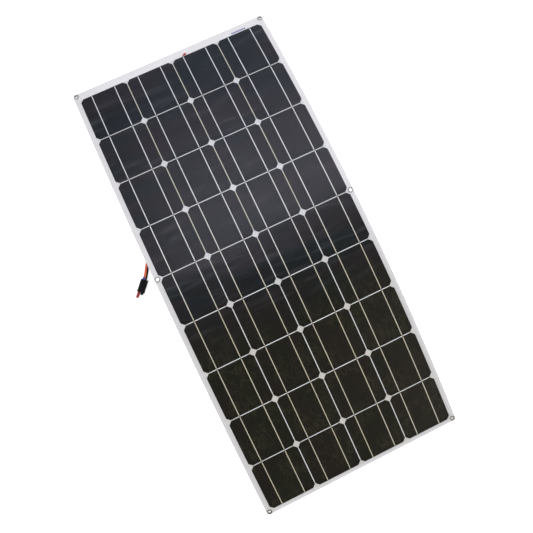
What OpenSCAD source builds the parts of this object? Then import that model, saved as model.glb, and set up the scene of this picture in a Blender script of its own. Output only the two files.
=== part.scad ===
// Flexible solar sheet: a bendable laminate of 36 wafer cells with six eyelets.
// A flat connection box on its underside feeds a two-core lead that ends in a two-pole plug.
// X runs across the sheet, Y along it and Z up. The sheet stands on its two short ends in a
// shallow arch, and the origin is on the floor below its middle.
// Heights named h are measured from the sheet's middle surface, outwards from the arch.
// Stations named s are measured along the sheet from its middle, towards row 1.

/* [Cells] */
// Side of one square cell
cell_side = 125; // [123:0.5:126]
// Diameter of the round wafer that a cell is cut from
wafer_diameter = 165; // [160:1:170]
// Gap between neighbouring cells
cell_gap = 2; // [1.5:0.5:3]
// Thickness of a cell
cell_t = 0.4; // [0.3:0.1:0.6]
// Width of the ribbons that join the cells of a column
ribbon_w = 1.8; // [1:0.1:2.5]

/* [Sheet] */
// White margin beside the cells, on each long edge
margin_side = 13; // [12:0.5:16]
// White margin above row 1
margin_top = 22; // [18:0.5:26]
// White margin below row 9
margin_bottom = 11; // [10:0.5:16]
// Thickness of the whole laminate
sheet_t = 3; // [2.6:0.1:4]
// Thickness of the clear front film
film_t = 0.7; // [0.5:0.1:0.9]
// Radius of the arch that the sheet rests in
bend_radius = 2500; // [2300:50:2700]
// Radius of the sheet's corners
corner_r = 8; // [4:1:12]

/* [Eyelets] */
// Radius of the hole through an eyelet
eyelet_hole_r = 4; // [3:0.1:4.1]
// Outer radius of an eyelet's flange
eyelet_flange_r = 6.75; // [6.5:0.05:7]
// Distance from an eyelet's centre to the sheet's edges
eyelet_inset = 7.5; // [7:0.5:8]
// Thickness of the washer behind an eyelet
washer_t = 0.8; // [0.5:0.1:1]

/* [Connection box] */
// Size of the box across the sheet
box_w = 104; // [90:1:110]
// Size of the box along the sheet
box_l = 76; // [70:1:80]
// Depth of the box without its lid
box_h = 14; // [13:0.5:16]
// Thickness of the lid
lid_t = 4; // [3.5:0.5:5]
// Thickness of the box's walls
box_wall = 2.5; // [2:0.5:3]

/* [Plug] */
// Length of the plug's moulded body
plug_l = 33; // [30:1:36]
// Width of the plug's moulded body
plug_w = 19; // [15:0.5:20]
// Height of the plug's moulded body
plug_h = 9.5; // [9:0.5:11]
// Length of the red cap on the bare pin
cap_l = 15.5; // [13:0.5:18]

/* [Hidden] */
// Layout of the cells and of the laminate's rows, which hinge between neighbours
columns = 4;
rows = 9;
middle_row = 5;
pitch = cell_side + cell_gap;
row_split = 0.3;
sheet_w = columns * pitch - cell_gap + 2 * margin_side;
sheet_l = rows * pitch - cell_gap + margin_top + margin_bottom;
lattice_shift = (margin_bottom - margin_top) / 2;

// Heights of the layers, and the play that keeps layers which lie on each other apart
h_top = sheet_t / 2;
h_bottom = -sheet_t / 2;
h_film = h_top - film_t;
h_cell = h_film - cell_t;
ribbon_t = 0.2;
cell_clearance = 0.1;
layer_gap = 0.05;

// Hidden ribbon behind the cells of each end row, which joins the columns
bus_t = 0.3;
bus_w = 5;
bus_from_edge = 30;
bus_reach = 235;

// Eyelets
barrel_t = 0.6;
eyelet_h = 0.9;
eyelet_dome_r = 1.35;
eyelet_clearance = 0.1;
end_s = sheet_l / 2 - eyelet_inset;
middle_s = lattice_shift + pitch / 2;
eyelet_x = sheet_w / 2 - eyelet_inset;
tab_r = 8.5;
tab_clearance = 0.4;

// Height of the bend's axis that puts the end washers' lowest points on the floor
axis_z = eyelet_flange_r * sin(bend_angle(end_s))
    - (bend_radius + h_bottom - washer_t) * cos(bend_angle(end_s));

// Connection box
box_x = -146;
box_corner_r = 6;
pad_t = 1;
pad_rim = 2;
gasket_t = 1;
window_w = 66;
window_l = 14;
post_r = 4;
post_inset = 8;
post_bore_r = 1.35;
screw_r = 1.25;
screw_head_r = 2.8;
screw_head_h = 1.6;
tail_w = 8;
tail_t = 0.4;
tail_pitch = 24;
gland_z = 60.5;
gland_bore_r = 4.5;
gland_flange_r = 6;
gland_tip_y = 58;
box_top = axis_z + sqrt(pow(bend_radius + h_bottom - pad_t, 2) - pow(box_l / 2, 2));
box_rim = box_top - box_h;

// Lead: two round cores side by side
core_r = 2.5;
lead_w = 4 * core_r;
drop_route = [
    [-146, 58, 60.5], [-146, 68.6, 59.1], [-145.8, 78.6, 55], [-145.3, 87.2, 48.5],
    [-144.7, 93.7, 40], [-144.2, 97.5, 31.6], [-143.6, 101.3, 23.2], [-142.8, 107.8, 14.7],
    [-141.7, 116.4, 8.2], [-140.6, 126.3, 4], [-140, 137, 2.6]
];
run_route = [
    [-236, 171.5, 2.6], [-241.5, 162.6, 2.6], [-247.1, 153.7, 2.6], [-252.7, 144.9, 2.6],
    [-258.3, 136, 2.6], [-263.8, 127.1, 2.6], [-269.4, 118.2, 2.6], [-275, 109.3, 2.6],
    [-280.4, 100.4, 2.7], [-285.4, 92.3, 3.2], [-290.3, 84.9, 4.1], [-295.6, 78, 4.7]
];
coil_centre = [-181, 137];
coil_inner_r = 36;
coil_outer_r = 70;

// Plug
plug_heading = -132.5;
pole_y = 4;
pin_r = 1.9;
pin_reach = 13;
sleeve_r = 3.7;
sleeve_l = 5.5;
socket_t = 0.5;
cap_r = 3.7;
cap_bore_r = 1.95;
cap_gap = 0.3;
seal_l = 5;

function row_names(layer) = [for (i = [1:rows]) str(layer, i)];

// Angle round the bend's axis of a stretch of the sheet
function bend_angle(s) = s / bend_radius * 180 / PI;

// Stations of a row's middle and of its two ends
function row_mid(i) = (middle_row - i) * pitch + lattice_shift;
function row_low(i) = i == rows ? -sheet_l / 2 : row_mid(i) - (pitch - row_split) / 2;
function row_high(i) = i == 1 ? sheet_l / 2 : row_mid(i) + (pitch - row_split) / 2;

// Distance across the sheet of a column's middle
function column_x(c) = (c - (columns + 1) / 2) * pitch;

// Distances across the sheet of every ribbon, a quarter of a cell each side of a column's middle
ribbon_xs = [for (c = [1:columns], side = [-1, 1]) column_x(c) + side * cell_side / 4];

// Puts children drawn round the origin on the sheet's middle surface at a station
module at_station(s, x = 0)
    translate([x, bend_radius * sin(bend_angle(s)), axis_z + bend_radius * cos(bend_angle(s))])
        rotate([-bend_angle(s), 0, 0])
            children();

// A curved layer of the laminate between two stations, two heights and two distances across
module shell(s0, s1, h0, h1, x0, x1)
    translate([0, 0, axis_z])
        rotate([90, 0, 90])
            rotate([0, 0, 90 - bend_angle(s1)])
                rotate_extrude(angle = bend_angle(s1 - s0), $fn = 720)
                    translate([bend_radius + h0, x0])
                        square([h1 - h0, x1 - x0]);

// A rectangle with round corners, centred
module rounded_rect(w, l, r) {
    square([w - 2 * r, l], center = true);
    square([w, l - 2 * r], center = true);
    for (x = [-1, 1], y = [-1, 1])
        translate([x * (w / 2 - r), y * (l / 2 - r)])
            circle(r, $fn = 48);
}

// Outline of one row of the laminate, flat, round the row's middle. The middle row keeps a
// round tab at each side for its eyelets, and the row next to it is notched to suit.
module row_outline(i) {
    low = row_low(i) - row_mid(i);
    high = row_high(i) - row_mid(i);
    difference() {
        intersection() {
            union() {
                translate([-sheet_w / 2, low])
                    square([sheet_w, high - low]);
                if (i == middle_row)
                    for (x = [-eyelet_x, eyelet_x])
                        translate([x, pitch / 2])
                            circle(tab_r, $fn = 64);
            }
            translate([0, row_end_shift(i)])
                rounded_rect(sheet_w, 3 * pitch, corner_r);
        }
        if (i == middle_row - 1)
            for (x = [-eyelet_x, eyelet_x])
                translate([x, -pitch / 2])
                    circle(tab_r + tab_clearance, $fn = 64);
    }
}

// Shift that brings the rounded corners to the sheet's ends, and clear of every other row
function row_end_shift(i) =
    i == 1 ? row_high(i) - row_mid(i) - 3 * pitch / 2 :
    i == rows ? row_low(i) - row_mid(i) + 3 * pitch / 2 : 0;

// Stations of the eyelets that a row carries
function eyelet_stations(i) =
    i == 1 ? [end_s] : i == rows ? [-end_s] : i == middle_row ? [middle_s] : [];

module at_eyelets(i)
    for (s = eyelet_stations(i), x = [-eyelet_x, eyelet_x])
        at_station(s, x)
            children();

// One row of a layer, with the holes for its eyelets
module row_layer(i, h0, h1)
    difference() {
        intersection() {
            shell(row_low(i) - 12, row_high(i) + 12, h0, h1, -sheet_w / 2 - 5, sheet_w / 2 + 5);
            at_station(row_mid(i))
                linear_extrude(20, center = true)
                    row_outline(i);
        }
        at_eyelets(i)
            cylinder(h = 20, r = eyelet_hole_r + barrel_t + eyelet_clearance, center = true, $fn = 48);
    }

// The wafers of one row, each a square with its corners cut by the wafer's rim
module wafers(i, h0, h1, grow = 0)
    intersection() {
        shell(row_mid(i) - pitch, row_mid(i) + pitch, h0, h1, -sheet_w / 2, sheet_w / 2);
        at_station(row_mid(i))
            linear_extrude(20, center = true)
                for (c = [1:columns])
                    translate([column_x(c), 0])
                        intersection() {
                            square(cell_side + 2 * grow, center = true);
                            circle(wafer_diameter / 2 + grow, $fn = 96);
                        }
    }

// Stations between which a row's ribbons run: to its neighbours, or to the end cells' edges
function ribbon_low(i) = i == rows ? row_mid(i) - cell_side / 2 : row_low(i);
function ribbon_high(i) = i == 1 ? row_mid(i) + cell_side / 2 : row_high(i);

module bus_strip(i, grow = 0) {
    side = i == 1 ? 1 : -1;
    s = row_mid(i) + side * (cell_side / 2 - bus_from_edge);
    shell(s - bus_w / 2 - grow, s + bus_w / 2 + grow, h_cell - bus_t - grow, h_cell + grow,
        -bus_reach - grow, bus_reach + grow);
}

// Copper tails that rise from the box into the back board, drawn as upright strips
module tails(low, high, grow = 0)
    for (k = [-1:1])
        translate([box_x + k * tail_pitch, 0, (low + high) / 2])
            cube([tail_w + 2 * grow, tail_t + 2 * grow, high - low], center = true);

module back_board(i)
    color("whitesmoke")
        difference() {
            row_layer(i, h_bottom, h_film);
            wafers(i, h_cell, h_film + 1, cell_clearance);
            if (i == 1 || i == rows)
                bus_strip(i, layer_gap);
            if (i == middle_row)
                tails(box_top - 1, box_top + 3, cell_clearance);
        }

module cells(i)
    color("#25262b")
        wafers(i, h_cell + layer_gap, h_film);

module ribbons(i)
    color("silver")
        for (x = ribbon_xs)
            shell(ribbon_low(i), ribbon_high(i), h_film + layer_gap, h_film + layer_gap + ribbon_t,
                x - ribbon_w / 2, x + ribbon_w / 2);

module front_film(i)
    color([0.8, 0.85, 0.95, 0.25])
        difference() {
            row_layer(i, h_film + layer_gap, h_top);
            for (x = ribbon_xs)
                shell(ribbon_low(i) - (i == rows ? layer_gap : 5), ribbon_high(i) + (i == 1 ? layer_gap : 5),
                    h_film - 1, h_film + ribbon_t + 2 * layer_gap,
                    x - ribbon_w / 2 - layer_gap, x + ribbon_w / 2 + layer_gap);
        }

module bus_ribbon(i)
    color("silver")
        bus_strip(i);

// Eyelet: a straight barrel under a domed flange
module eyelets(i)
    color("lightgray")
        at_eyelets(i)
            rotate_extrude($fn = 64) {
                translate([eyelet_hole_r, h_bottom - washer_t])
                    square([barrel_t, sheet_t + washer_t + eyelet_h]);
                intersection() {
                    translate([eyelet_flange_r - eyelet_dome_r, h_top + eyelet_h - eyelet_dome_r])
                        circle(eyelet_dome_r, $fn = 48);
                    translate([eyelet_hole_r + barrel_t / 2, h_top])
                        square([eyelet_flange_r, eyelet_h]);
                }
            }

module eyelet_washers(i)
    color("darkgray")
        at_eyelets(i)
            translate([0, 0, h_bottom - washer_t])
                difference() {
                    cylinder(h = washer_t - layer_gap, r = eyelet_flange_r, $fn = 64);
                    translate([0, 0, -1])
                        cylinder(h = washer_t + 2, r = eyelet_hole_r + barrel_t + 0.05, $fn = 64);
                }

// Bonding pad between the sheet's curved underside and the box's flat back
module box_pad()
    color("gainsboro")
        difference() {
            intersection() {
                shell(-box_l, box_l, h_bottom - pad_t, h_bottom - layer_gap, box_x - box_w, box_x + box_w);
                translate([box_x, 0, box_top - 5])
                    linear_extrude(10)
                        rounded_rect(box_w + 2 * pad_rim, box_l + 2 * pad_rim, box_corner_r + pad_rim);
            }
            translate([box_x, 0, box_top - 5])
                linear_extrude(10)
                    square([window_w, window_l], center = true);
        }

// Calls its children at each corner post of the box
module at_posts()
    for (x = [-1, 1], y = [-1, 1])
        translate([box_x + x * (box_w / 2 - post_inset), y * (box_l / 2 - post_inset), 0])
            children();

module box_base()
    color("#202124")
        difference() {
            union() {
                difference() {
                    translate([box_x, 0, box_rim])
                        linear_extrude(box_h)
                            rounded_rect(box_w, box_l, box_corner_r);
                    translate([box_x, 0, box_rim - 1])
                        linear_extrude(box_h - box_wall + 1)
                            rounded_rect(box_w - 2 * box_wall, box_l - 2 * box_wall, box_corner_r - box_wall);
                }
                at_posts()
                    translate([0, 0, box_rim])
                        cylinder(h = box_h - box_wall, r = post_r, $fn = 32);
            }
            at_posts()
                translate([0, 0, box_rim - 1])
                    cylinder(h = box_h - box_wall, r = post_bore_r, $fn = 24);
            translate([box_x, 0, box_top - box_wall - 1])
                linear_extrude(box_wall + 2)
                    square([window_w, window_l], center = true);
            translate([box_x, box_l / 2 - box_wall - 1, gland_z])
                rotate([-90, 0, 0])
                    cylinder(h = box_wall + 2, r = gland_bore_r, $fn = 48);
        }

module box_gasket()
    color("#101010")
        translate([box_x, 0, box_rim - gasket_t])
            linear_extrude(gasket_t)
                difference() {
                    rounded_rect(box_w - 0.6, box_l - 0.6, box_corner_r - 0.3);
                    rounded_rect(box_w - 2 * box_wall, box_l - 2 * box_wall, box_corner_r - box_wall);
                }

module box_lid() {
    lid_bottom = box_rim - gasket_t - lid_t;
    rib_l = box_l - 4 * post_inset;
    color("#26272a")
        difference() {
            translate([box_x, 0, lid_bottom])
                linear_extrude(lid_t)
                    rounded_rect(box_w, box_l, box_corner_r);
            at_posts() {
                translate([0, 0, lid_bottom - 1])
                    cylinder(h = lid_t + 2, r = screw_r + 0.3, $fn = 32);
                translate([0, 0, lid_bottom - 1])
                    cylinder(h = screw_head_h + 1, r = screw_head_r + 0.2, $fn = 32);
            }
            for (k = [-2:2])
                translate([box_x + k * 12, 0, lid_bottom])
                    cube([5, rib_l, 1.6], center = true);
        }
}

module box_screws()
    color("silver")
        at_posts()
            translate([0, 0, box_rim - gasket_t - lid_t])
                difference() {
                    union() {
                        cylinder(h = screw_head_h, r = screw_head_r, $fn = 32);
                        cylinder(h = lid_t + gasket_t + 7, r = screw_r, $fn = 24);
                    }
                    cube([4.4, 0.9, 1.6], center = true);
                    cube([0.9, 4.4, 1.6], center = true);
                }

module lead_out_tails()
    color("peru")
        tails(box_top - 8, box_top + 2);

// Brass blocks that the tails are clamped in, one per tail, on the floor of the box
module terminals()
    color("goldenrod")
        for (k = [-1:1])
            translate([box_x + k * tail_pitch, 0, box_top - 7])
                difference() {
                    translate([0, 3.3, 0])
                        cube([11, 6, 6], center = true);
                    translate([0, 3.3, -2])
                        cylinder(h = 4, r = 1.6, center = true, $fn = 24);
                }

// Two diodes, each bridging a pair of terminals
module bypass_diodes()
    color("#151515")
        for (k = [-0.5, 0.5])
            translate([box_x + k * tail_pitch, 18, box_top - 7]) {
                rotate([0, 90, 0])
                    cylinder(h = 9.5, r = 2.7, center = true, $fn = 32);
                for (side = [-1, 1])
                    translate([side * 7, 0, 0]) {
                        rotate([0, 90, 0])
                            cylinder(h = 4.6, r = 0.6, center = true, $fn = 16);
                        translate([side * 1.7, -5.7, 0])
                            cube([1.2, 11.6, 1.2], center = true);
                    }
            }

// Strain relief in the box's wall: a shank, a flange and a tapered boot
module lead_gland() {
    wall_y = box_l / 2;
    color("#1a1a1c")
        translate([box_x, 0, gland_z])
            rotate([-90, 0, 0])
                rotate_extrude($fn = 48)
                    polygon([
                        [0, wall_y - box_wall - 3], [gland_bore_r - 0.05, wall_y - box_wall - 3],
                        [gland_bore_r - 0.05, wall_y], [gland_flange_r, wall_y],
                        [gland_flange_r, wall_y + 4], [5.6, wall_y + 5],
                        [5.1, gland_tip_y], [0, gland_tip_y]
                    ]);
}

// Direction of a route at one of its points
function heading(route, k) =
    let (step = route[min(k + 1, len(route) - 1)] - route[max(k - 1, 0)])
        step / norm(step);

// Corners of the lead's section: a flat shape with two round edges, lying level
section = [for (side = [1, -1], a = [-75:30:75]) side * [core_r + core_r * cos(a), core_r * sin(a)]];

function lead_ring(route, k) =
    let (t = heading(route, k), across = cross(t, [0, 0, 1]) / norm(cross(t, [0, 0, 1])), up = cross(across, t))
        [for (p = section) route[k] + p[0] * across + p[1] * up];

// A lead swept along a route, with one ring of corners at each of its points
module lead(route) {
    n = len(section);
    last = len(route) - 1;
    sides = [
        for (k = [0:last - 1], j = [0:n - 1])
            [k * n + j, k * n + (j + 1) % n, (k + 1) * n + (j + 1) % n, (k + 1) * n + j]
    ];
    polyhedron(
        points = [for (k = [0:last], p = lead_ring(route, k)) p],
        faces = concat([[for (j = [n - 1:-1:0]) j]], sides, [[for (j = [0:n - 1]) last * n + j]])
    );
}

module lead_drop()
    color("firebrick")
        lead(drop_route);

module lead_run()
    color("firebrick")
        lead(run_route);

module lead_coil()
    color("firebrick")
        translate([coil_centre.x, coil_centre.y, 0.1])
            rotate_extrude($fn = 96)
                translate([coil_inner_r, 0])
                    square([coil_outer_r - coil_inner_r, 2 * core_r]);

// Puts children drawn along +X on the end of the lead, with the red core's side at -Y
module at_plug()
    translate([run_route[len(run_route) - 1].x, run_route[len(run_route) - 1].y, plug_h / 2])
        rotate([0, 0, plug_heading])
            children();

module along_x(x, y)
    translate([x, y, 0])
        rotate([0, 90, 0])
            children();

module plug_housing()
    color("#161618")
        at_plug()
            difference() {
                union() {
                    rotate([90, 0, 90])
                        linear_extrude(plug_l)
                            rounded_rect(plug_w - 1, plug_h - 1, 2.5);
                    for (x = [0, 7, 12, 17, plug_l - 6])
                        translate([x, 0, 0])
                            rotate([90, 0, 90])
                                linear_extrude(x == plug_l - 6 ? 6 : 3)
                                    rounded_rect(plug_w, plug_h, 3);
                    along_x(plug_l, pole_y)
                        cylinder(h = sleeve_l, r = sleeve_r, $fn = 48);
                }
                along_x(plug_l - 12, pole_y)
                    cylinder(h = 30, r = pin_r + socket_t + 0.1, $fn = 48);
                along_x(plug_l - 12, -pole_y)
                    cylinder(h = 30, r = pin_r + 0.05, $fn = 48);
            }

// A socket recessed in the sleeve and a bare pin beside it
module plug_contacts()
    color("gold")
        at_plug() {
            along_x(plug_l - 12, pole_y)
                difference() {
                    cylinder(h = 11 + sleeve_l, r = pin_r + socket_t, $fn = 48);
                    translate([0, 0, 3])
                        cylinder(h = 20, r = pin_r + 0.1, $fn = 48);
                }
            along_x(plug_l - 12, -pole_y)
                union() {
                    cylinder(h = 12 + pin_reach - pin_r, r = pin_r, $fn = 48);
                    translate([0, 0, 12 + pin_reach - pin_r])
                        sphere(r = pin_r, $fn = 48);
                }
        }

module plug_cap()
    color("darkred")
        at_plug()
            along_x(plug_l + cap_gap, -pole_y)
                difference() {
                    union() {
                        cylinder(h = cap_l - 1, r = cap_r, $fn = 48);
                        translate([0, 0, cap_l - 1])
                            cylinder(h = 1, r1 = cap_r, r2 = cap_r - 0.8, $fn = 48);
                    }
                    translate([0, 0, -1])
                        cylinder(h = pin_reach + 1, r = cap_bore_r, $fn = 48);
                }

module wire_seal()
    color("royalblue")
        at_plug()
            along_x(-seal_l, -2.9)
                cylinder(h = seal_l, r = 3.3, $fn = 48);

for (i = [1:rows]) {
    back_board(i);
    cells(i);
    ribbons(i);
    front_film(i);
}
bus_ribbon(1);  // bus_ribbon_top
bus_ribbon(rows);  // bus_ribbon_bottom
eyelets(1);  // eyelets_top
eyelets(middle_row);  // eyelets_middle
eyelets(rows);  // eyelets_bottom
eyelet_washers(1);  // eyelet_washers_top
eyelet_washers(middle_row);  // eyelet_washers_middle
eyelet_washers(rows);  // eyelet_washers_bottom
box_pad();
box_base();
box_gasket();
box_lid();
box_screws();
lead_out_tails();
terminals();
bypass_diodes();
lead_gland();
lead_drop();
lead_coil();
lead_run();
plug_housing();
plug_contacts();
plug_cap();
wire_seal();
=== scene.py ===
"""Flexible solar sheet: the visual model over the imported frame. Lengths are in metres."""

import math

import bmesh
import bpy
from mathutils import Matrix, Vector
from mathutils.geometry import delaunay_2d_cdt


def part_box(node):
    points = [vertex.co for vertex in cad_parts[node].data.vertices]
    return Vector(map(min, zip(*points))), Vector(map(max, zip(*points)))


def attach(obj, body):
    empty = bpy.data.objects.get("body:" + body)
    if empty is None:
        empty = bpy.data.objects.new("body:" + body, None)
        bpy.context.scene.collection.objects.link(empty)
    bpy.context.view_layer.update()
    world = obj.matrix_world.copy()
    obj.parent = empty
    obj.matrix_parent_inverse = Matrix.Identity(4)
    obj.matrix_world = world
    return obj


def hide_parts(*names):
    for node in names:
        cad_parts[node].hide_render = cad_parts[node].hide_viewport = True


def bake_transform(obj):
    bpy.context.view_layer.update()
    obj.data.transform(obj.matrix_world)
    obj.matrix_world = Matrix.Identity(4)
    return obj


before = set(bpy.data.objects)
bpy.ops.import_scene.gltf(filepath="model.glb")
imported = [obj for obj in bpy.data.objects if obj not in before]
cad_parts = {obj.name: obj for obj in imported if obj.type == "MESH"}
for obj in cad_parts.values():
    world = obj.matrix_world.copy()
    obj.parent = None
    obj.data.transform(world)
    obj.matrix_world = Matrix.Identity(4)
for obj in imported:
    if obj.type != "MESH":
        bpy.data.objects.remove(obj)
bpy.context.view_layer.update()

# ---------------------------------------------------------------- sizes, as in the CAD source
# Cells: each wafer is a square whose corners are cut by a circle
CELL, CELL_GAP, WAFER_R = 0.125, 0.002, 0.0825
PITCH = CELL + CELL_GAP
COLUMNS, ROWS, MIDDLE_ROW = 4, 9, 5

# Sheet, laid flat
MARGIN_SIDE, MARGIN_TOP, MARGIN_BOTTOM = 0.013, 0.022, 0.011
SHEET_W = COLUMNS * PITCH - CELL_GAP + 2 * MARGIN_SIDE
SHEET_L = ROWS * PITCH - CELL_GAP + MARGIN_TOP + MARGIN_BOTTOM
LATTICE_SHIFT = (MARGIN_BOTTOM - MARGIN_TOP) / 2
CORNER_R = 0.008
H_TOP, H_BOTTOM = 0.0015, -0.0015

# Eyelets, and the hole that the laminate has for each
EYELET_INSET, EYELET_HOLE = 0.0075, 0.0047
EYELET_X = SHEET_W / 2 - EYELET_INSET
EYELET_END = SHEET_L / 2 - EYELET_INSET
EYELET_STATIONS = (EYELET_END, PITCH / 2 + LATTICE_SHIFT, -EYELET_END)

# Arch in which the sheet lies
BEND_R = 2.5
AXIS_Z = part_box("front_film_5")[1].z - BEND_R - H_TOP

# Spacing of the meshes' stations along the sheet, and the slack in comparing two stations
STEP = PITCH / 12
SLACK = 1e-6


def column_mid(c):
    """Distance across the sheet of a column's middle, with the columns counted from 0."""
    return (c - (COLUMNS - 1) / 2) * PITCH


def row_mid(i):
    """Station of a row's middle, with the rows counted from 1 at the top."""
    return (MIDDLE_ROW - i) * PITCH + LATTICE_SHIFT


CELLS_TOP, CELLS_LOW = row_mid(1) + CELL / 2, row_mid(ROWS) - CELL / 2
FINGER_PITCH = 0.0030
RIBBON_X = [column_mid(c) + side * CELL / 4 for c in range(COLUMNS) for side in (-1, 1)]


def on_sheet(x, s, h):
    """The point x across the sheet, at station s along it and height h over its middle surface."""
    a = s / BEND_R
    return (x, (BEND_R + h) * math.sin(a), AXIS_Z + (BEND_R + h) * math.cos(a))


# ---------------------------------------------------------------- camera
# The photo's view, from a fit: almost straight down, 1.27 m above the floor
camera = bpy.data.objects.new("camera", bpy.data.cameras.new("camera"))
bpy.context.collection.objects.link(camera)
camera.location = (-0.0993, -0.0627, 1.2732)
camera.rotation_euler = [math.radians(d) for d in (3.470, -3.068, -25.405)]
camera.data.sensor_width = 36
camera.data.lens = 33.77
bpy.context.scene.camera = camera


# ---------------------------------------------------------------- node graphs
class Graph:
    """Adds shader nodes to a tree. Input names take _ for a space, and _0 and so on by place."""

    def __init__(self, tree):
        self.tree = tree
        tree.nodes.clear()

    def __call__(self, kind, out=0, sets=None, **inputs):
        n = self.tree.nodes.new("ShaderNode" + kind)
        for key, value in (sets or {}).items():
            setattr(n, key, value)
        for key, value in inputs.items():
            socket = n.inputs[int(key[1:])] if key[0] == "_" else n.inputs[key.replace("_", " ")]
            if isinstance(value, bpy.types.NodeSocket):
                self.tree.links.new(value, socket)
            else:
                socket.default_value = value
        return n.outputs[out]

    def math(self, operation, a, b=0.0, clamp=False):
        return self("Math", sets={"operation": operation, "use_clamp": clamp}, _0=a, _1=b)

    def mix(self, factor, a, b):
        return self("Mix", out=2, sets={"data_type": "RGBA"}, _0=factor, _6=a, _7=b)

    def smooth(self, value, low, high, to_low=0.0, to_high=1.0):
        """value's place between low and high, smoothly."""
        return self(
            "MapRange", sets={"interpolation_type": "SMOOTHSTEP"},
            _0=value, _1=low, _2=high, _3=to_low, _4=to_high,
        )

    def scaled(self, vector, scale):
        """The vector with each axis scaled by its own factor."""
        return self("Mapping", Vector=vector, Scale=scale)

    def noise(self, vector, scale, detail=3.0, rough=0.5, distortion=0.0):
        return self(
            "TexNoise", Vector=vector, Scale=scale,
            Detail=detail, Roughness=rough, Distortion=distortion,
        )

    def bump(self, height, strength, distance, normal=None):
        more = {} if normal is None else {"Normal": normal}
        return self("Bump", Height=height, Strength=strength, Distance=distance, **more)

    def finish(self, shader):
        out = self.tree.nodes.new("ShaderNodeOutputMaterial")
        self.tree.links.new(shader, out.inputs[0])


def rgb(r, g, b):
    """An opaque colour, in linear light."""
    return (r, g, b, 1.0)


def material(name):
    """(material, empty graph) of a new material."""
    m = bpy.data.materials.new(name)
    m.use_nodes = True
    return m, Graph(m.node_tree)


def sheet_position(g):
    """(x, s, vector) of the flat layout, from the UV map, so that patterns bend with the sheet."""
    uv = g("UVMap", sets={"uv_map": "flat"})
    parts = g("SeparateXYZ", Vector=uv).node
    return parts.outputs[0], parts.outputs[1], uv


def lattice(g, x, s):
    """(column's place, row's place) from 0 to 1 across each cell, and a random number per cell."""
    u = g.math("ADD", g.math("DIVIDE", x, PITCH), COLUMNS / 2)
    v = g.math("ADD", g.math("DIVIDE", g.math("SUBTRACT", s, LATTICE_SHIFT), PITCH), 0.5)
    cell = g("CombineXYZ", X=g.math("FLOOR", u), Y=g.math("FLOOR", v))
    lot = g("TexWhiteNoise", sets={"noise_dimensions": "2D"}, Vector=cell)
    return g.math("FRACT", u), g.math("FRACT", v), lot


def to_border(g, place):
    """How far a place from 0 to 1 across a cell is from the nearer end."""
    return g.math("MINIMUM", place, g.math("SUBTRACT", 1.0, place))


def part_of(g, mask, share):
    """A mask made weaker, so that it mixes in at most that share."""
    return g.math("MULTIPLY", mask, share)


def ridges(g, vector, scale, width, detail=3.0, distortion=0.0):
    """Thin curved lines, where a noise passes through its middle value."""
    field = g.noise(vector, scale, detail, 0.55, distortion)
    return g.smooth(g.math("ABSOLUTE", g.math("SUBTRACT", field, 0.5)), width, 0.0)


def upright(g):
    """1 on upright faces such as a cut edge or a barrel's wall, 0 on level ones."""
    rise = g("SeparateXYZ", Vector=g("NewGeometry", out=3)).node.outputs[2]
    return g.smooth(g.math("ABSOLUTE", rise), 0.60, 0.40)


def film_relief(g, uv):
    """Normal of the film's glossy face: slow waves, brushed streaks, ripples and a fine grain."""
    wave = g.noise(g.scaled(uv, (3.5, 9.0, 1.0)), 1.0, 3.0, 0.5, 0.4)
    streak = g.noise(g.scaled(uv, (7.0, 60.0, 1.0)), 1.0, 2.0, 0.5, 0.3)
    ripple = g.noise(g.scaled(uv, (40.0, 90.0, 1.0)), 1.0, 2.0)
    grain = g.noise(uv, 1500.0, 2.0)
    normal = g.bump(wave, 0.42, 0.006)
    normal = g.bump(streak, 0.19, 0.0012, normal)
    normal = g.bump(ripple, 0.10, 0.0008, normal)
    return g.bump(grain, 0.10, 0.00005, normal)


def under_film(g, uv, **looks):
    """A surface bonded to the film, whose clear coat is the film's face."""
    return g("BsdfPrincipled", Coat_Weight=1.0, Coat_Roughness=0.15, Coat_IOR=1.42,
             Coat_Normal=film_relief(g, uv), **looks)


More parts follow.
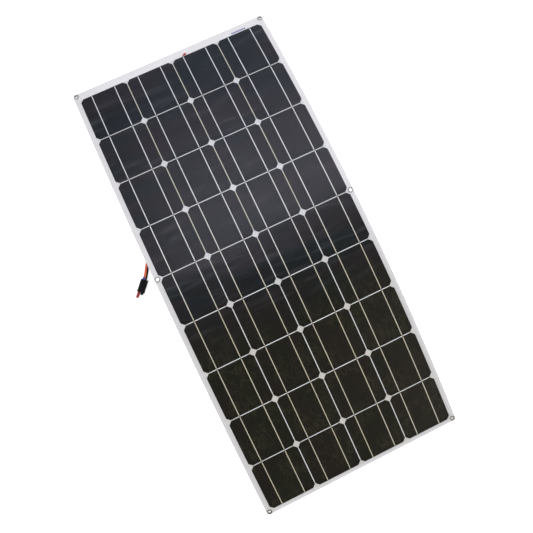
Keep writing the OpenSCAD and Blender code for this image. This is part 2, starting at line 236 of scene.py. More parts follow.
def board_material():
    """White laminate: a clear rim with a pressed line, and duller gaps between the cells. Painted
    shade makes its lower half darker and warmer and its left side darker.
    """
    # Distances in from the sheet's edge over which the rim fades out, with the line between them
    rim_from, rim_middle, rim_to = 0.0060, 0.0068, 0.0078
    m, g = material("white_laminate")
    x, s, uv = sheet_position(g)
    across = g.math("ABSOLUTE", x)
    along = g.math("ABSOLUTE", s)
    edge = g.math(
        "MINIMUM", g.math("SUBTRACT", SHEET_W / 2, across), g.math("SUBTRACT", SHEET_L / 2, along)
    )
    # Painted shade: the lower half of the laminate, rim and all, is darker and warmer than the
    # upper half
    low_half_shade = g.smooth(s, 0.15, -0.25)
    inner = g.mix(low_half_shade, rgb(0.820, 0.812, 0.812), rgb(0.640, 0.636, 0.612))
    rim = g.mix(low_half_shade, rgb(0.835, 0.828, 0.832), rgb(0.715, 0.706, 0.700))
    base = g.mix(g.smooth(edge, rim_to, rim_from), inner, rim)
    line = g.math(
        "MULTIPLY", g.smooth(edge, rim_from, rim_middle), g.smooth(edge, 0.0076, rim_middle)
    )
    base = g.mix(part_of(g, line, 0.30), base, rgb(0.60, 0.58, 0.57))

    ends = g.math("MULTIPLY", g.smooth(s, CELLS_TOP + 0.001, CELLS_TOP - 0.001),
                  g.smooth(s, CELLS_LOW - 0.001, CELLS_LOW + 0.001))
    inward = g.smooth(across, SHEET_W / 2 - 0.012, SHEET_W / 2 - 0.015)
    lattice_part = g.math("MULTIPLY", ends, inward)
    fx, fv, _ = lattice(g, x, s)
    to_column, to_row = to_border(g, fx), to_border(g, fv)
    column_gap = g.smooth(to_column, 0.030, 0.014)
    upper_gap = g.mix(column_gap, rgb(0.74, 0.765, 0.750), rgb(0.66, 0.65, 0.53))
    gap = g.mix(g.smooth(s, -0.02, 0.06), rgb(0.84, 0.885, 0.875), upper_gap)
    diamond = g.mix(g.smooth(s, -0.16, 0.04), rgb(0.637, 0.620, 0.566), rgb(0.655, 0.677, 0.683))
    gap = g.mix(g.smooth(g.math("ADD", to_column, to_row), 0.13, 0.10), gap, diamond)
    base = g.mix(lattice_part, base, gap)

    # Painted shade: the laminate grows darker towards its left side
    left = g.smooth(x, -0.15, -0.26)
    base = g.mix(part_of(g, left, 0.42), base, rgb(0.69, 0.67, 0.65))
    sides = g.smooth(across, SHEET_W / 2 - 0.016, SHEET_W / 2 - 0.010)
    base = g.mix(part_of(g, sides, 0.20), base, rgb(0.62, 0.62, 0.63))
    cloud = g.noise(uv, 9.0, 4.0)
    base = g.mix(g.smooth(cloud, 0.35, 0.8, 0.0, 0.14), base, rgb(0.62, 0.61, 0.60))
    cut_edge = g.mix(g.noise(uv, 260.0, 3.0), rgb(0.30, 0.29, 0.27), rgb(0.42, 0.41, 0.39))
    base = g.mix(upright(g), base, cut_edge)
    grain = g.noise(uv, 900.0, 2.0)
    weave = g(
        "TexWave", sets={"wave_type": "BANDS", "bands_direction": "DIAGONAL"},
        Vector=uv, Scale=180.0,
    )
    normal = g.bump(weave, 0.06, 0.0002, g.bump(grain, 0.25, 0.0002))
    g.finish(under_film(
        g, uv, Base_Color=base, Roughness=0.55, Normal=normal, Specular_IOR_Level=0.1
    ))
    return m


def cell_material():
    """Silicon with painted reflection: olive in the lower rows, blue-black in the upper ones with
    pale and dark painted sheen streaks, painted highlights along folds and painted shade in
    creases.
    """
    m, g = material("silicon")
    x, s, uv = sheet_position(g)
    fx, _, lot = lattice(g, x, s)
    # Painted reflection: the upper rows take a blue-black tint, as of sky, and the lower rows an
    # olive one, as of ground
    upper = g.smooth(s, -0.22, -0.03)
    patch = g.noise(g.scaled(uv, (17.0, 11.0, 1.0)), 1.0, 4.0, 0.6, 0.8)
    per_cell = part_of(g, g.math("SUBTRACT", lot, 0.5), 0.7)
    green = g.math("ADD", g.smooth(patch, 0.38, 0.62), per_cell, True)
    olive = g.mix(green, rgb(0.0132, 0.0104, 0.0072), rgb(0.0092, 0.0110, 0.0046))
    # Painted highlight: pale lines along the film's folds
    fold_highlight = ridges(g, g.scaled(uv, (46.0, 24.0, 1.0)), 1.0, 0.055, 3.0, 1.1)
    fold_highlight = g.math("MULTIPLY", fold_highlight, g.smooth(g.noise(uv, 13.0, 2.0), 0.40, 0.56))
    olive = g.mix(part_of(g, fold_highlight, 0.60), olive, rgb(0.0340, 0.0315, 0.0150))
    # Painted shade: dark lines in the film's creases
    crease_shade = ridges(g, g.scaled(uv, (64.0, 38.0, 1.0)), 1.0, 0.045, 2.0, 0.9)
    olive = g.mix(part_of(g, crease_shade, 0.45), olive, rgb(0.0045, 0.0050, 0.0028))

    middle = g.smooth(g.math("ABSOLUTE", g.math("SUBTRACT", fx, 0.5)), 0.27, 0.22)
    band = g.noise(g.scaled(uv, (2.6, 15.0, 1.0)), 1.0, 4.0, 0.55, 0.5)
    teal = g.math("ADD", g.smooth(band, 0.42, 0.60), part_of(g, middle, 0.25), True)
    blue = g.mix(teal, rgb(0.0150, 0.0118, 0.0125), rgb(0.0075, 0.0112, 0.0120))
    # The painted reflection goes in here: olive in the lower rows, blue-black in the upper ones
    base = g.mix(upper, olive, blue)

    # Painted sheen: pale and dark streaks over the upper rows, in patches, where the painted sky
    # reflection lies
    sheen_streak = g.noise(g.scaled(uv, (9.0, 62.0, 1.0)), 1.0, 2.0, 0.5, 0.12)
    brushed = g.smooth(g.noise(g.scaled(uv, (3.0, 8.0, 1.0)), 1.0, 2.0), 0.36, 0.56)
    sheen_reach = g.math("MULTIPLY", upper, brushed)
    pale_sheen_streak = g.math("MULTIPLY", g.smooth(sheen_streak, 0.48, 0.74), part_of(g, sheen_reach, 0.6))
    base = g.mix(pale_sheen_streak, base, rgb(0.0470, 0.0460, 0.0490))
    dark_sheen_streak = g.math("MULTIPLY", g.smooth(sheen_streak, 0.45, 0.28), part_of(g, sheen_reach, 0.6))
    base = g.mix(dark_sheen_streak, base, rgb(0.0045, 0.0060, 0.0060))

    finger = g.math("FRACT", g.math("DIVIDE", x, FINGER_PITCH))
    line = g.math("MULTIPLY", g.smooth(finger, 0.0, 0.03), g.smooth(finger, 0.12, 0.08))
    base = g.mix(part_of(g, line, 0.16), base, rgb(0.060, 0.060, 0.062))
    speck = g.smooth(g("TexVoronoi", Vector=uv, Scale=38.0), 0.035, 0.015)
    base = g.mix(part_of(g, speck, 0.5), base, rgb(0.10, 0.10, 0.095))
    grain = g.noise(uv, 2600.0, 2.0)
    normal = g.bump(grain, 0.3, 0.00005)
    rough = g.smooth(patch, 0.2, 0.8, 0.40, 0.52)
    g.finish(under_film(
        g, uv, Base_Color=base, Roughness=rough, Normal=normal, Specular_IOR_Level=0.1
    ))
    return m


def ribbon_material():
    """Tinned copper, more yellow towards the low end, with a band of painted shade at each gap
    between rows, where the ribbon dips.
    """
    m, g = material("tinned_ribbon")
    x, s, uv = sheet_position(g)
    fv = lattice(g, x, s)[1]
    patch = g.noise(g.scaled(uv, (9.0, 5.0, 1.0)), 1.0, 2.0)
    yellowed = g.smooth(patch, 0.55, 0.70, 0.0, 0.6)
    lavender = g.mix(yellowed, rgb(0.82, 0.86, 0.88), rgb(0.80, 0.78, 0.68))
    yellowed = g.smooth(patch, 0.52, 0.66, 0.0, 0.7)
    bright = g.mix(yellowed, rgb(0.89, 0.92, 0.90), rgb(0.84, 0.83, 0.70))
    paler = g.smooth(patch, 0.3, 0.6, 0.0, 0.6)
    beige = g.mix(paler, rgb(0.66, 0.61, 0.43), rgb(0.72, 0.69, 0.56))
    base = g.mix(g.smooth(s, 0.34, 0.20), lavender, bright)
    base = g.mix(g.smooth(s, 0.09, -0.12), base, beige)
    # Painted shade: a dark band across the ribbon at each gap between rows, standing for the shade
    # of its dip there
    base = g.mix(g.smooth(to_border(g, fv), 0.030, 0.014, 0.0, 0.9), base, rgb(0.14, 0.13, 0.075))
    scratch = g.noise(g.scaled(uv, (3000.0, 60.0, 1.0)), 1.0, 3.0)
    normal = g.bump(scratch, 0.3, 0.00005)
    rough = g.smooth(scratch, 0.2, 0.8, 0.42, 0.6)
    g.finish(under_film(g, uv, Base_Color=base, Roughness=rough, Normal=normal, Metallic=0.1))
    return m


def film_material():
    """Clear film with a weak gloss, since most of the gloss is the coat of what lies under it."""
    m, g = material("clear_film")
    _, _, uv = sheet_position(g)
    normal = film_relief(g, uv)
    gloss = g("BsdfAnisotropic", Color=rgb(1, 1, 1), Roughness=0.15, Normal=normal)
    clear = g("BsdfTransparent", Color=rgb(0.985, 0.985, 0.99))
    facing = g("LayerWeight", out=1, Blend=0.5, Normal=normal)
    share = g.math("ADD", 0.006, g.math("MULTIPLY", 0.5, g.math("POWER", facing, 5.0)))
    g.finish(g("MixShader", _0=share, _1=clear, _2=gloss))
    return m


def film_back_material():
    """The film's bonded face, which only lets light through."""
    m, g = material("clear_film_back")
    _, _, uv = sheet_position(g)
    tone = g.mix(g.noise(uv, 40.0), rgb(0.99, 0.99, 0.99), rgb(1, 1, 1))
    g.finish(g("BsdfTransparent", Color=tone))
    return m


def solid_material(name, light, dark, rough, scale, metallic=0.0, grain=1200.0, **more):
    """A material whose colour clouds between two shades, with a fine grain."""
    m, g = material(name)
    at = g("TexCoord", out=3)
    cloud = g.noise(at, scale, 4.0, 0.6)
    fine = g.noise(at, grain, 3.0)
    g.finish(g(
        "BsdfPrincipled", Base_Color=g.mix(g.smooth(cloud, 0.3, 0.7), dark, light),
        Roughness=g.smooth(fine, 0.2, 0.8, rough * 0.85, rough * 1.15),
        Normal=g.bump(fine, 0.35, 0.0001), Metallic=metallic, **more,
    ))
    return m


def nickel_material():
    """Plate with painted reflection: bright at the far end and darker at the low one, with olive
    upright walls painted as a reflection of dark surroundings.
    """
    m, g = material("nickel_plate")
    at = g("TexCoord", out=3)
    cloud = g.noise(at, 300.0, 4.0, 0.6)
    fine = g.noise(at, 1200.0, 3.0)
    # Painted reflection: the plate is lighter towards the far end and darker towards the low end
    far = g.smooth(g("SeparateXYZ", Vector=at).node.outputs[1], -0.3, 0.5)
    dark_plate = g.mix(far, rgb(0.24, 0.235, 0.20), rgb(0.46, 0.46, 0.44))
    bright = g.mix(far, rgb(0.34, 0.335, 0.30), rgb(0.62, 0.62, 0.61))
    plate = g.mix(g.smooth(cloud, 0.3, 0.7), dark_plate, bright)
    # Painted reflection: upright walls are olive-dark, as if reflecting dark surroundings
    base = g.mix(upright(g), plate, rgb(0.110, 0.105, 0.065))
    rough = g.smooth(fine, 0.2, 0.8, 0.20, 0.32)
    g.finish(g("BsdfPrincipled", Base_Color=base, Roughness=rough, Metallic=0.7,
               Normal=g.bump(fine, 0.35, 0.0001)))
    return m


def red_core_material():
    """Red insulation, with an orange painted highlight near the plug."""
    m, g = material("red_core")
    at = g("TexCoord", out=3)
    # Painted highlight: the insulation turns orange towards the plug
    highlight_near_plug = g.smooth(g("SeparateXYZ", Vector=at), -0.262, -0.288)
    cloud = g.smooth(g.noise(at, 140.0, 4.0), 0.3, 0.7)
    deep = g.mix(cloud, rgb(0.44, 0.022, 0.026), rgb(0.52, 0.034, 0.036))
    orange = g.mix(cloud, rgb(0.72, 0.115, 0.045), rgb(0.86, 0.17, 0.06))
    fine = g.noise(at, 1800.0, 3.0)
    g.finish(g("BsdfPrincipled", Base_Color=g.mix(highlight_near_plug, deep, orange),
               Roughness=g.smooth(fine, 0.2, 0.8, 0.28, 0.38), Normal=g.bump(fine, 0.35, 0.0001)))
    return m


MATERIALS = {
    "white_laminate": board_material(),
    "silicon": cell_material(),
    "tinned_ribbon": ribbon_material(),
    "clear_film": film_material(),
    "clear_film_back": film_back_material(),
    "nickel_plate": nickel_material(),
    "red_core": red_core_material(),
}

# The other materials: light and dark shade, roughness, scale of the clouds, and what else differs
METAL, DULL = {"metallic": 1.0}, {"Specular_IOR_Level": 0.15}
SOLIDS = {
    "bonding_silicone": (rgb(0.66, 0.66, 0.64), rgb(0.56, 0.56, 0.54), 0.5, 120.0, {}),
    "box_plastic": (
        rgb(0.022, 0.022, 0.024), rgb(0.014, 0.014, 0.015), 0.48, 90.0, {"grain": 2200.0}
    ),
    "black_rubber": (rgb(0.014, 0.014, 0.014), rgb(0.009, 0.009, 0.009), 0.65, 150.0, {}),
    "screw_steel": (rgb(0.66, 0.66, 0.67), rgb(0.5, 0.5, 0.5), 0.3, 500.0, METAL),
    "copper": (rgb(0.80, 0.42, 0.26), rgb(0.55, 0.27, 0.16), 0.35, 200.0, METAL),
    "brass_block": (rgb(0.78, 0.60, 0.28), rgb(0.6, 0.44, 0.2), 0.35, 250.0, METAL),
    "diode_plastic": (rgb(0.02, 0.02, 0.02), rgb(0.012, 0.012, 0.012), 0.4, 300.0, {}),
    "plug_rubber": (
        rgb(0.004, 0.004, 0.005), rgb(0.0015, 0.0015, 0.002), 0.5, 250.0, {"grain": 2500.0, **DULL}
    ),
    "black_core": (
        rgb(0.006, 0.006, 0.007), rgb(0.003, 0.003, 0.004), 0.4, 140.0, {"grain": 1800.0, **DULL}
    ),
    "contact_brass": (rgb(0.83, 0.66, 0.32), rgb(0.65, 0.5, 0.22), 0.25, 400.0, METAL),
    "red_vinyl": (rgb(0.30, 0.006, 0.010), rgb(0.20, 0.003, 0.006), 0.35, 200.0, {}),
    "red_sticker": (
        rgb(0.42, 0.001, 0.003), rgb(0.32, 0.001, 0.002), 0.5, 300.0, {"Specular_IOR_Level": 0.2}
    ),
    "blue_ink": (rgb(0.070, 0.095, 0.36), rgb(0.045, 0.065, 0.30), 0.5, 500.0, {}),
    "blue_seal": (rgb(0.05, 0.11, 0.62), rgb(0.03, 0.07, 0.45), 0.45, 250.0, {}),
}
for name, (light, dark, rough, scale, more) in SOLIDS.items():
    MATERIALS[name] = solid_material(name, light, dark, rough, scale, **more)


# ---------------------------------------------------------------- meshes
def mesh_object(name, verts, faces, uvs, mats, face_mats=None, sharp=25.0):
    """A smooth-shaded mesh with sharp edges kept, whose UV map holds each vertex's flat place."""
    mesh = bpy.data.meshes.new(name)
    mesh.from_pydata([Vector(v) for v in verts], [], faces)
    if uvs is not None:
        layer = mesh.uv_layers.new(name="flat")
        for loop in mesh.loops:
            layer.data[loop.index].uv = uvs[loop.vertex_index]
    for m in mats:
        mesh.materials.append(m)
    if face_mats is not None:
        mesh.polygons.foreach_set("material_index", face_mats)
    bm = bmesh.new()
    bm.from_mesh(mesh)
    bmesh.ops.recalc_face_normals(bm, faces=bm.faces)
    for f in bm.faces:
        f.smooth = True
    for e in bm.edges:
        if len(e.link_faces) == 2 and e.calc_face_angle() > math.radians(sharp):
            e.smooth = False
    bm.to_mesh(mesh)
    bm.free()
    obj = bpy.data.objects.new(name, mesh)
    bpy.context.collection.objects.link(obj)
    return obj


# ---------------------------------------------------------------- the lead
# Route, as in the CAD source: down from the gland to the floor, round the coil, and out to the plug
LEAD_Z = 0.0026
DROP = [
    (-0.146, 0.058, 0.0605), (-0.146, 0.0686, 0.0591), (-0.1458, 0.0786, 0.055),
    (-0.1453, 0.0872, 0.0485), (-0.1447, 0.0937, 0.04), (-0.1442, 0.0975, 0.0316),
    (-0.1436, 0.1013, 0.0232), (-0.1428, 0.1078, 0.0147), (-0.1417, 0.1164, 0.0082),
    (-0.1406, 0.1263, 0.004), (-0.14, 0.137, LEAD_Z),
]
RUN = [
    (-0.236, 0.1715, LEAD_Z), (-0.2415, 0.1626, LEAD_Z), (-0.2471, 0.1537, LEAD_Z),
    (-0.2527, 0.1449, LEAD_Z), (-0.2583, 0.136, LEAD_Z), (-0.2638, 0.1271, LEAD_Z),
    (-0.2694, 0.1182, LEAD_Z), (-0.275, 0.1093, LEAD_Z), (-0.2804, 0.1004, 0.0027),
    (-0.2854, 0.0923, 0.0032), (-0.2903, 0.0849, 0.0041), (-0.2956, 0.078, 0.0047),
]
# The coil widens by COIL_TURN in each turn. Its points lie at these angles, in degrees
COIL_CENTRE, COIL_START_R, COIL_TURN = (-0.181, 0.137), 0.041, 0.010
COIL_FROM, COIL_TO, COIL_STEP = 8, 860, 6
ROUTE_PARTS = 3
CORE_R = 0.0025


def curve_through(points, parts):
    """Points on a Catmull-Rom curve through the given ones, with that many parts between two."""
    p = [Vector(v) for v in points]
    p = [2 * p[0] - p[1]] + p + [2 * p[-1] - p[-2]]
    out = []
    for a, b, c, d in zip(p, p[1:], p[2:], p[3:]):
        for k in range(parts):
            t = k / parts
            square, cube = 2 * a - 5 * b + 4 * c - d, 3 * b - a - 3 * c + d
            out.append(0.5 * (2 * b + (c - a) * t + square * t * t + cube * t ** 3))
    return out + [p[-2]]


def coil_points():
    """Points on the coil's spiral, from the end of the drop to the start of the run."""
    out = []
    for deg in range(COIL_FROM, COIL_TO + 1, COIL_STEP):
        a, r = math.radians(deg), COIL_START_R + COIL_TURN * deg / 360
        x, y = COIL_CENTRE[0] + r * math.cos(a), COIL_CENTRE[1] + r * math.sin(a)
        out.append(Vector((x, y, LEAD_Z)))
    return out


def lead_object():
    """(object, path) of the lead: a red and a black core side by side, joined where they meet."""
    path = curve_through(DROP, ROUTE_PARTS) + coil_points() + curve_through(RUN, ROUTE_PARTS)
    section = []
    for side in (1, -1):
        for deg in range(-135, 136, 30):
            a = math.radians(deg)
            section.append((side * (CORE_R + CORE_R * math.cos(a)), side * CORE_R * math.sin(a)))
    n = len(section)
    verts, faces, mats = [], [], []
    for k, p in enumerate(path):
        t = (path[min(k + 1, len(path) - 1)] - path[max(k - 1, 0)]).normalized()
        side = t.cross(Vector((0, 0, 1))).normalized()
        up = side.cross(t)
        verts += [p + side * a + up * b for a, b in section]
    for k in range(len(path) - 1):
        for j in range(n):
            i = (j + 1) % n
            faces.append((k * n + j, k * n + i, (k + 1) * n + i, (k + 1) * n + j))
            mats.append(0 if j < n // 2 else 1)
    for k in (0, len(path) - 1):
        for half in range(2):
            ring = [k * n + half * (n // 2) + j for j in range(n // 2)]
            faces.append(ring)
            mats.append(half)
    looks = [MATERIALS["red_core"], MATERIALS["black_core"]]
    return mesh_object("lead", verts, faces, None, looks, mats, 60.0), path


lead, lead_path = lead_object()
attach(lead, "row_5")
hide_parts("lead_drop", "lead_coil", "lead_run")


# ---------------------------------------------------------------- the laminate
# Steps across the sheet, and the inset of the caps' grid of vertices from its long edges
ACROSS, GRID_INSET = 24, 0.012
# Sides of an eyelet's hole and of the ring of vertices just outside it, that ring's radius, and the
# radius within which the grid has no vertices
HOLE_SIDES, RING_SIDES = 32, 16
RING_R, BARE_R = 0.0063, 0.009


def outline(lo, hi, inset):
    """Corners of one stretch of the sheet, anticlockwise, as (x, s, is the next edge a seam)."""
    top_end, low_end = hi > SHEET_L / 2 - SLACK, lo < -SHEET_L / 2 + SLACK
    half = SHEET_W / 2
    first, last = (lo + CORNER_R if low_end else lo), (hi - CORNER_R if top_end else hi)
    n = max(2, round((last - first) / STEP))
    sides = [first + (last - first) * k / n for k in range(n + 1)]
    straight = SHEET_W - 2 * CORNER_R
    across = [-half + CORNER_R + straight * k / ACROSS for k in range(ACROSS + 1)]

    def arc(cx, cs, start):
        r = CORNER_R - inset
        angles = [math.radians(start + d) for d in range(15, 90, 15)]
        return [(cx + r * math.cos(a), cs + r * math.sin(a), False) for a in angles]

    loop = [(half - inset, s, False) for s in sides]
    if top_end:
        loop += arc(half - CORNER_R, hi - CORNER_R, 0)
        loop += [(x, hi - inset, False) for x in reversed(across)]
        loop += arc(-half + CORNER_R, hi - CORNER_R, 90)
    else:
        loop[-1] = (*loop[-1][:2], True)
        loop += [(x, hi, True) for x in reversed(across)]
    loop += [(-half + inset, s, False) for s in reversed(sides)]
    if low_end:
        loop += arc(-half + CORNER_R, lo + CORNER_R, 180)
        loop += [(x, lo + inset, False) for x in across]
        loop += arc(half - CORNER_R, lo + CORNER_R, 270)
    else:
        loop[-1] = (*loop[-1][:2], True)
        loop += [(x, lo, True) for x in across]
    return loop


def hole(x, s, inset):
    """Corners of an eyelet's hole, clockwise."""
    r = EYELET_HOLE + inset
    angles = [2 * math.pi * k / HOLE_SIDES for k in range(HOLE_SIDES)]
    return [(x + r * math.cos(a), s - r * math.sin(a), False) for a in angles]


def stations(lo, hi):
    """The regular stations between two others, leaving out those within 0.3 of a step of either."""
    first = math.ceil((lo - LATTICE_SHIFT) / STEP + 0.3)
    last = math.floor((hi - LATTICE_SHIFT) / STEP - 0.3)
    return [k * STEP + LATTICE_SHIFT for k in range(first, last + 1)]


def slab(name, lo, hi, levels, slot, back=None):
    """
    A layer of the sheet, from the first level, (height, inset), round its rim to the last one. It
    is open at the seams, where the next stretch goes on. The last level's cap may look different.
    """
    holes = [(x, s) for s in EYELET_STATIONS if lo < s < hi for x in (-EYELET_X, EYELET_X)]

    def loops(inset):
        return [outline(lo, hi, inset)] + [hole(x, s, inset) for x, s in holes]

    def clear_of_holes(x, s, r):
        return all((x - hx) ** 2 + (s - hs) ** 2 > r ** 2 for hx, hs in holes)

    plain = loops(0.0)
    points = [p[:2] for loop in plain for p in loop]
    rims, at = [], 0
    for loop in plain:
        rims.append(range(at, at + len(loop)))
        at += len(loop)
    edges = [(r[k], r[(k + 1) % len(r)]) for r in rims for k in range(len(r))]
    for s in stations(lo, hi):
        for k in range(1, ACROSS):
            x = -SHEET_W / 2 + GRID_INSET + (SHEET_W - 2 * GRID_INSET) * k / ACROSS
            if clear_of_holes(x, s, BARE_R):
                points.append((x, s))
    for hx, hs in holes:
        for k in range(RING_SIDES):
            a = 2 * math.pi * (k + 0.5) / RING_SIDES
            points.append((hx + RING_R * math.cos(a), hs + RING_R * math.sin(a)))
    flat, _, tris, origin, _, _ = delaunay_2d_cdt([Vector(p) for p in points], edges, [], 0, 1e-7)
    source = [o[0] if o else -1 for o in origin]
    where = {o: k for k, o in enumerate(source)}
    cap = []
    for tri in tris:
        cx = sum(flat[k].x for k in tri) / 3
        cs = sum(flat[k].y for k in tri) / 3
        if clear_of_holes(cx, cs, EYELET_HOLE * 0.99):
            cap.append(tuple(tri))
    verts, uvs, faces, rings, mats = [], [], [], [], []
    for level, (h, inset) in enumerate(levels):
        moved = [p for loop in loops(inset) for p in loop]
        if level in (0, len(levels) - 1):
            base = len(verts)
            places = [
                moved[o][:2] if 0 <= o < len(moved) else tuple(flat[k])
                for k, o in enumerate(source)
            ]
            verts += [on_sheet(x, s, h) for x, s in places]
            uvs += places
            faces += [[base + k for k in tri] for tri in cap]
            mats += [1 if back and level else 0] * len(cap)
            rings.append([base + where[k] for k in range(len(moved))])
        else:
            rings.append(list(range(len(verts), len(verts) + len(moved))))
            verts += [on_sheet(x, s, h) for x, s, _ in moved]
            uvs += [p[:2] for p in moved]
    seam = [p[2] for loop in plain for p in loop]
    for a, b in zip(rings, rings[1:]):
        for r in rims:
            for k in range(len(r)):
                i, j = r[k], r[(k + 1) % len(r)]
                if not seam[i]:
                    faces.append([a[i], a[j], b[j], b[i]])
                    mats.append(0)
    looks = [MATERIALS[slot]] + ([MATERIALS[back]] if back else [])
    obj = mesh_object(name, verts, faces, uvs, looks, mats)
    return obj


# Stations of a wafer's vertices from its middle: regular ones, then closer along its round corners
WAFER_FLAT = math.sqrt(WAFER_R ** 2 - (CELL / 2) ** 2)
WAFER_CORNER = [WAFER_FLAT, 0.0562, 0.0584, 0.0603, 0.0616, CELL / 2]
WAFER_HALF = [k * STEP for k in range(6)] + WAFER_CORNER
WAFER_STATIONS = sorted({sign * t for t in WAFER_HALF for sign in (-1, 1)})
WAFER_ACROSS = 9
CELL_LOW, CELL_TOP = 0.00045, 0.0008


def wafer(mid, column, low, high, verts, uvs, faces):
    """Adds one wafer's stretch between two distances from its middle: top, bottom and rim."""
    rows = [t for t in WAFER_STATIONS if low - SLACK <= t <= high + SLACK]
    cx = column_mid(column)
    n = WAFER_ACROSS
    base = len(verts)
    for h in (CELL_TOP, CELL_LOW):
        for t in rows:
            w = min(CELL / 2, math.sqrt(max(0.0, WAFER_R ** 2 - t * t)))
            for k in range(n):
                x = cx + w * (2 * k / (n - 1) - 1)
                verts.append(on_sheet(x, mid + t, h))
                uvs.append((x, mid + t))
    size = len(rows) * n
    for r in range(len(rows) - 1):
        for k in range(n - 1):
            a = base + r * n + k
            faces.append([a, a + 1, a + n + 1, a + n])
            faces.append([a + size, a + n + size, a + n + 1 + size, a + 1 + size])
        for k in (0, n - 1):
            a = base + r * n + k
            faces.append([a, a + n, a + n + size, a + size])
    for r, t in ((0, rows[0]), (len(rows) - 1, rows[-1])):
        if abs(abs(t) - CELL / 2) < SLACK:
            for k in range(n - 1):
                a = base + r * n + k
                faces.append([a, a + 1, a + 1 + size, a + size])


def cells(name, spans):
    """The wafers of each span, (row's middle, from, to), in every column."""
    verts, uvs, faces = [], [], []
    for mid, low, high in spans:
        for column in range(COLUMNS):
            wafer(mid, column, low, high, verts, uvs, faces)
    obj = mesh_object(name, verts, faces, uvs, [MATERIALS["silicon"]])
    return obj


# A ribbon's section from edge to edge, as (distance from its middle, height)
RIBBON_SECTION = [
    (-0.0009, 0.00083), (-0.00085, 0.00099), (-0.0005, 0.00104), (0.0, 0.00105),
    (0.0005, 0.00104), (0.00085, 0.00099), (0.0009, 0.00083),
]


def ribbons(name, lo, hi):
    """Every ribbon's stretch between two stations, closed only at the ribbon's own ends."""
    lo, hi = max(lo, CELLS_LOW), min(hi, CELLS_TOP)
    rows = [lo] + stations(lo, hi) + [hi]
    n = len(RIBBON_SECTION)
    verts, uvs, faces = [], [], []
    for x0 in RIBBON_X:
        base = len(verts)
        for s in rows:
            for dx, h in RIBBON_SECTION:
                verts.append(on_sheet(x0 + dx, s, h))
                uvs.append((x0 + dx, s))
        for r in range(len(rows) - 1):
            for k in range(n):
                a, b = base + r * n + k, base + r * n + (k + 1) % n
                faces.append([a, b, b + n, a + n])
        for r in (0, len(rows) - 1):
            if rows[r] in (CELLS_LOW, CELLS_TOP):
                faces.append([base + r * n + k for k in range(n)])
    obj = mesh_object(name, verts, faces, uvs, [MATERIALS["tinned_ribbon"]], sharp=50.0)
    return obj


# Levels from a layer's top, as (height, inset). The film's rim hangs down round the cells, so its
# levels go down the outer wall and back up the inner one to the bonded face
BOARD_LEVELS = [(0.00042, 0.0), (-0.0013, 0.0), (H_BOTTOM, 0.0002)]
FILM_LEVELS = [(H_TOP, 0.00025), (0.00125, 0.0), (0.00043, 0.0), (0.00043, 0.001), (0.0011, 0.001)]

# Each stretch runs from the middle of one row to the middle of the next, over the hinge between
for k in range(1, ROWS):
    upper, lower = row_mid(k), row_mid(k + 1)
    hi = SHEET_L / 2 if k == 1 else upper
    lo = -SHEET_L / 2 if k == ROWS - 1 else lower
    spans = [
        (upper, -CELL / 2, CELL / 2 if k == 1 else 0.0),
        (lower, -CELL / 2 if k == ROWS - 1 else 0.0, CELL / 2),
    ]
    layers = {
        "back_board": slab(f"back_sheet_{k}", lo, hi, BOARD_LEVELS, "white_laminate"),
        "cells": cells(f"cell_layer_{k}", spans),
        "ribbons": ribbons(f"ribbon_layer_{k}", lo, hi),
        "front_film": slab(f"film_layer_{k}", lo, hi, FILM_LEVELS, "clear_film", "clear_film_back"),
    }
    stood_for = (k, k + 1) if k == ROWS - 1 else (k,)
    for node, piece in layers.items():
        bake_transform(piece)
        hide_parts(*[f"{node}_{i}" for i in stood_for])


# ---------------------------------------------------------------- marks on the top margin
# A mark's rings from the film up, as (height over the film, share of its outline's size)
MARK_RINGS = [(-0.00004, 1.0), (0.00008, 1.0), (0.00012, 0.93), (0.00013, 0.5)]
# The red sticker's middle. The row of dashes: how many, how far apart, and the first one's middle
STICKER_X, STICKER_S = 0.0376, 0.5682
DASHES, DASH_PITCH = 7, 0.0058
DASH_X, DASH_S = 0.1745, 0.5692


def marks(name, outlines, look):
    """Thin flat marks stuck on the film, one for each outline of (x, s) round its own middle."""
    verts, uvs, faces = [], [], []
    for loop in outlines:
        n = len(loop)
        mx, ms = sum(p[0] for p in loop) / n, sum(p[1] for p in loop) / n
        base = len(verts)
        for h, share in MARK_RINGS:
            for x, s in loop:
                x, s = mx + (x - mx) * share, ms + (s - ms) * share
                verts.append(on_sheet(x, s, H_TOP + h))
                uvs.append((x, s))
        top_ring = len(MARK_RINGS) - 1
        for ring in range(top_ring):
            for j in range(n):
                a, b = base + ring * n + j, base + ring * n + (j + 1) % n
                faces.append([a, b, b + n, a + n])
        faces.append([base + j for j in reversed(range(n))])
        faces.append([base + top_ring * n + j for j in range(n)])
    obj = mesh_object(name, verts, faces, uvs, [look], sharp=50.0)
    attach(obj, "row_1")
    return obj


def leaf(cx, cs, half_long, half_wide, turn, sides=28):
    """An oval, turned by an angle, that narrows towards its left end."""
    out = []
    for k in range(sides):
        a = 2 * math.pi * k / sides
        u, v = half_long * math.cos(a), half_wide * math.sin(a) * (0.72 + 0.28 * math.cos(a))
        x = cx + u * math.cos(turn) - v * math.sin(turn)
        s = cs + u * math.sin(turn) + v * math.cos(turn)
        out.append((x, s))
    return out


def dash(cx, cs, long, wide, parts=6):
    """A bar with half-round ends of that many parts each."""
    r = wide / 2
    out = []
    for side in (0, 1):
        for k in range(parts + 1):
            a = math.pi * (side + k / parts) - math.pi / 2
            x = cx + (long / 2 - r) * (1 - 2 * side) + r * math.cos(a)
            out.append((x, cs + r * math.sin(a)))
    return out


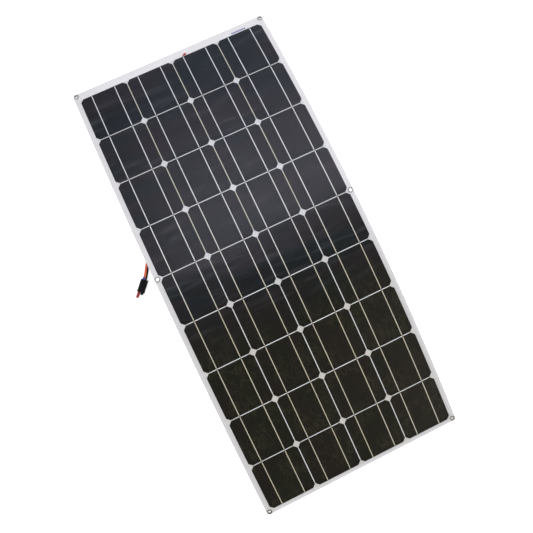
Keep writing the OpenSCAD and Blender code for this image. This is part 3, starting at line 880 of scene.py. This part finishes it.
marks(
    "margin_sticker", [leaf(STICKER_X, STICKER_S, half_long=0.0060, half_wide=0.0036, turn=0.28)],
    MATERIALS["red_sticker"],
)
marks(
    "margin_dashes",
    [dash(DASH_X + DASH_PITCH * k, DASH_S, long=0.0048, wide=0.0040) for k in range(DASHES)],
    MATERIALS["blue_ink"],
)

# ---------------------------------------------------------------- CAD nodes that stay
KEPT = {
    "nickel_plate": ["eyelets_top", "eyelets_middle", "eyelets_bottom",
                     "eyelet_washers_top", "eyelet_washers_middle", "eyelet_washers_bottom"],
    "tinned_ribbon": ["bus_ribbon_top", "bus_ribbon_bottom"],
    "bonding_silicone": ["box_pad"],
    "box_plastic": ["box_base", "box_lid"],
    "black_rubber": ["box_gasket", "lead_gland"],
    "screw_steel": ["box_screws"],
    "copper": ["lead_out_tails"],
    "brass_block": ["terminals"],
    "diode_plastic": ["bypass_diodes"],
    "plug_rubber": ["plug_housing"],
    "contact_brass": ["plug_contacts"],
    "red_vinyl": ["plug_cap"],
    "blue_seal": ["wire_seal"],
}
for name, nodes in KEPT.items():
    for node in nodes:
        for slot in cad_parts[node].material_slots:
            slot.link = "OBJECT"
            slot.material = MATERIALS[name]


# ---------------------------------------------------------------- floor and light
FLOOR_HALF, FLOOR_Z = 9, -0.0003


def floor_material():
    m, g = material("floor_paper")
    tone = g.mix(g.noise(g("TexCoord", out=3), 3.0), rgb(0.90, 0.90, 0.90), rgb(0.93, 0.93, 0.93))
    g.finish(g("BsdfPrincipled", Base_Color=tone, Roughness=0.8, Specular_IOR_Level=0.1,
               Emission_Color=rgb(1, 1, 1), Emission_Strength=0.60))
    return m


def floor_object():
    signs = ((-1, -1), (1, -1), (1, 1), (-1, 1))
    corners = [(x * FLOOR_HALF, y * FLOOR_HALF, FLOOR_Z) for x, y in signs]
    mesh = bpy.data.meshes.new("floor")
    mesh.from_pydata(corners, [], [(0, 1, 2, 3)])
    mesh.materials.append(floor_material())
    obj = bpy.data.objects.new("floor", mesh)
    bpy.context.collection.objects.link(obj)
    return obj


def studio_sky(g):
    """
    Light by direction: a blue-grey panel past the sheet's far end, dark above its middle, a dim
    warm glow past its low end, a bright strip at either side, and a dim ring low down all round.
    The camera itself sees a plain backdrop. Angles are in degrees from straight up.
    """
    parts = g("SeparateXYZ", Vector=g("TexCoord", out=0)).node
    dx, dy, dz = parts.outputs[0], parts.outputs[1], parts.outputs[2]
    toward_y = g.math("MULTIPLY", g.math("ARCTAN2", dy, dz), 180 / math.pi)
    toward_x = g.math("ABSOLUTE", g.math("MULTIPLY", g.math("ARCTAN2", dx, dz), 180 / math.pi))
    rightward = g.math("MULTIPLY", dx, 60.0)

    panel = g.mix(g.smooth(toward_y, 12.0, 52.0), rgb(1.22, 1.21, 1.46), rgb(0.31, 0.34, 0.53))
    panel_edge = g.math("SUBTRACT", toward_y, g.math("MULTIPLY", rightward, 0.14))
    sky = g.mix(g.smooth(panel_edge, 0.3, 9.3), rgb(0.02, 0.02, 0.02), panel)
    sky = g.mix(g.smooth(rightward, -9.0, 2.0), g.mix(0.7, sky, rgb(0.0, 0.0, 0.0)), sky)
    glow = g.math("MULTIPLY", g.smooth(toward_y, -12.0, -22.0), g.smooth(rightward, -10.0, 25.0))
    sky = g.mix(glow, sky, rgb(0.20, 0.16, 0.13))

    strip = g.math("MULTIPLY", g.smooth(toward_x, 24.5, 30.0), g.smooth(toward_x, 56.0, 44.0))
    sky = g.mix(g.smooth(toward_x, 40.0, 56.0), sky, rgb(0.34, 0.34, 0.35))
    sky = g.mix(strip, sky, rgb(3.02, 3.00, 3.00))
    sky = g.mix(g.smooth(dz, 0.60, 0.38), sky, rgb(0.30, 0.30, 0.31))
    return g.mix(g("LightPath", out=0), sky, rgb(0.95, 0.95, 0.95))


def studio_world():
    world = bpy.data.worlds.new("studio")
    world.use_nodes = True
    g = Graph(world.node_tree)
    background = g("Background", Color=studio_sky(g), Strength=1.0)
    out = world.node_tree.nodes.new("ShaderNodeOutputWorld")
    world.node_tree.links.new(background, out.inputs[0])
    return world


floor_object()
bpy.context.scene.world = studio_world()
bpy.context.scene.view_settings.view_transform = "Standard"
